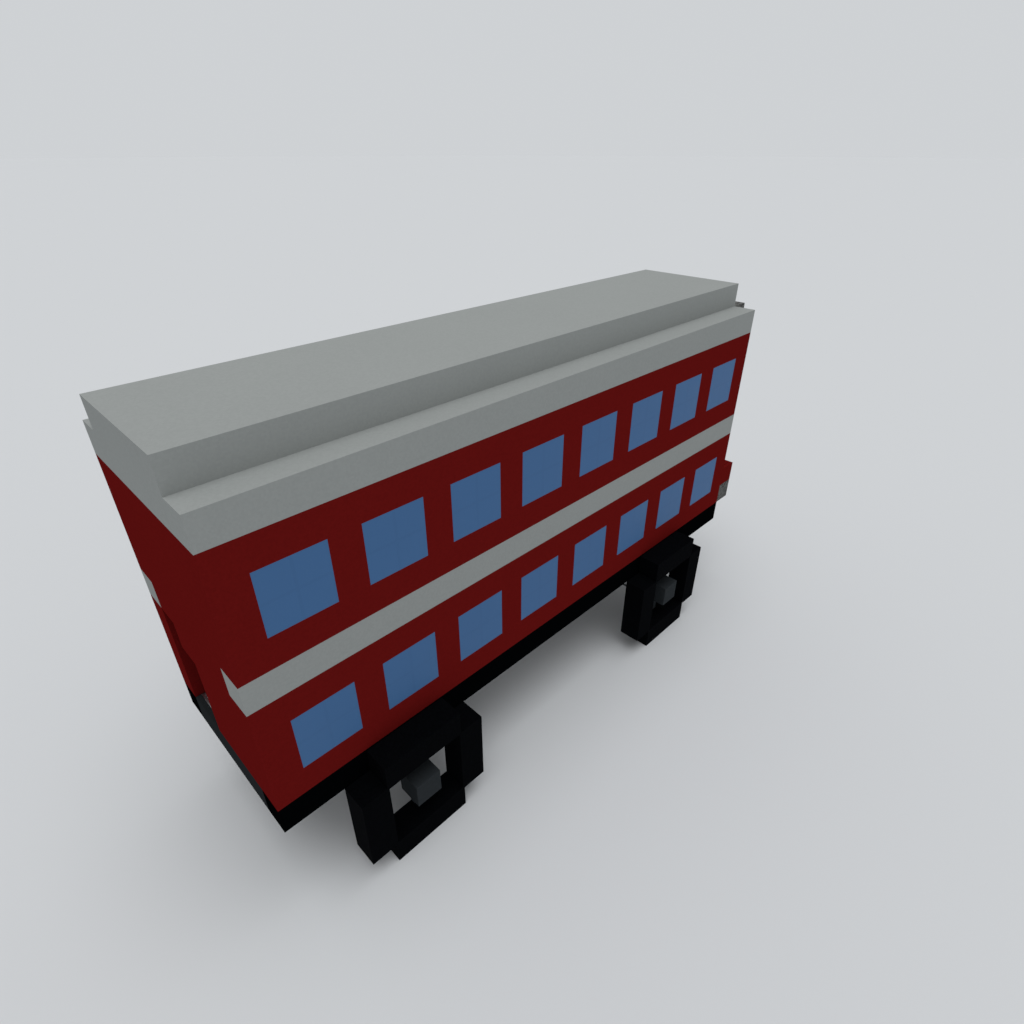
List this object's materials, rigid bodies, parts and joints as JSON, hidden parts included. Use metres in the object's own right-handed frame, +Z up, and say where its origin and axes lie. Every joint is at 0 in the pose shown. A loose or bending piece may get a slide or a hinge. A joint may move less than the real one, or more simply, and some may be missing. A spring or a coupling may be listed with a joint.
{
  "type": "double decker bus",
  "caption": "Block-shaped double decker bus with an open rear platform, flush windows, stepped roof and square-stepped wheels that roll and steer.",
  "frame": {"origin": "on the ground, midway between the tail and the nose and between the wheels' outer faces", "axes": "+X forwards, +Y to the bus's left, +Z up"},
  "size_m": [7.8, 2.7, 4.8],
  "materials": {
    "red_paint": "satin",
    "pale_paint": "matt",
    "black_paint": "satin",
    "deck_grey": "matt, ribbed",
    "stone_grey": "speckled",
    "lamp_glass": "clear",
    "window_glass": "tinted",
    "seat_plastic": "grained",
    "seat_black": "grained",
    "pole_steel": "brushed",
    "cast_grey": "rough",
    "spring_steel": "satin",
    "tyre_black": "matt",
    "hub_grey": "matt"
  },
  "bodies": {
    "bus_body": {"chassis_rails": "black_paint", "floor_bearers": "black_paint", "lower_deck": "deck_grey", "skirts": "black_paint", "wheel_boxes": "black_paint", "lower_side_right": "red_paint", "lower_side_left": "red_paint", "waist_band": "pale_paint", "upper_side_right": "red_paint", "upper_side_left": "red_paint", "rear_wall_lower": "red_paint", "rear_wall_upper": "red_paint", "front_wall_lower": "red_paint", "front_wall_upper": "red_paint", "upper_deck": "deck_grey", "roof_lower_step": "pale_paint", "roof_upper_step": "pale_paint", "bumper": "stone_grey", "bonnet": "red_paint", "destination_box": "stone_grey", "headlamps": "lamp_glass", "lower_windows": "window_glass", "upper_windows": "window_glass", "front_windows": "window_glass", "staircase": "deck_grey", "lower_seats": "seat_plastic", "upper_seats": "seat_plastic", "driver_seat": "seat_black", "dashboard": "seat_black", "steering_wheel": "seat_black", "platform_pole": "pole_steel", "engine": "cast_grey", "propeller_shaft": "cast_grey", "front_axle": "black_paint", "rear_axle": "black_paint", "leaf_springs": "spring_steel"},
    "knuckle_right": {"knuckle_right": "cast_grey", "guard_right": "black_paint"},
    "knuckle_left": {"knuckle_left": "cast_grey", "guard_left": "black_paint"},
    "track_rod": {"track_rod": "cast_grey"},
    "bonnet_lid": {"bonnet_lid": "red_paint"},
    "wheel_front_right": {"tyre_front_right": "tyre_black", "hub_front_right": "hub_grey"},
    "wheel_front_left": {"tyre_front_left": "tyre_black", "hub_front_left": "hub_grey"},
    "wheel_rear_right": {"tyre_rear_right": "tyre_black", "hub_rear_right": "hub_grey"},
    "wheel_rear_left": {"tyre_rear_left": "tyre_black", "hub_rear_left": "hub_grey"}
  },
  "joints": [
    {"name": "steer_left", "type": "hinge", "parent": "bus_body", "child": "knuckle_left", "pos_m": [1.95, 0.96, 0.745], "axis": [0, 0, 1], "range_deg": [-30, 30]},
    {"name": "steer_right", "type": "hinge", "parent": "bus_body", "child": "knuckle_right", "pos_m": [1.95, -0.96, 0.745], "axis": [0, 0, 1], "range_deg": [-30, 30]},
    {"name": "track_rod_turn", "type": "hinge", "parent": "knuckle_left", "child": "track_rod", "pos_m": [1.75, 0.96, 0.645], "axis": [0, 0, 1], "range_deg": [-30, 30]},
    {"name": "bonnet_lid_hinge", "type": "hinge", "parent": "bus_body", "child": "bonnet_lid", "pos_m": [3.621, 0, 2.085], "axis": [0, -1, 0], "range_deg": [0, 75]},
    {"name": "spin_front_right", "type": "hinge", "parent": "knuckle_right", "child": "wheel_front_right", "pos_m": [1.95, -1.204, 0.745], "axis": [0, 1, 0], "continuous": true},
    {"name": "spin_front_left", "type": "hinge", "parent": "knuckle_left", "child": "wheel_front_left", "pos_m": [1.95, 1.204, 0.745], "axis": [0, 1, 0], "continuous": true},
    {"name": "spin_rear_right", "type": "hinge", "parent": "bus_body", "child": "wheel_rear_right", "pos_m": [-2.55, -1.204, 0.745], "axis": [0, 1, 0], "continuous": true},
    {"name": "spin_rear_left", "type": "hinge", "parent": "bus_body", "child": "wheel_rear_left", "pos_m": [-2.55, 1.204, 0.745], "axis": [0, 1, 0], "continuous": true}
  ],
  "couplings": [
    {"joint": "steer_right", "follows": "steer_left", "ratio": 1},
    {"joint": "track_rod_turn", "follows": "steer_left", "ratio": -1}
  ]
}
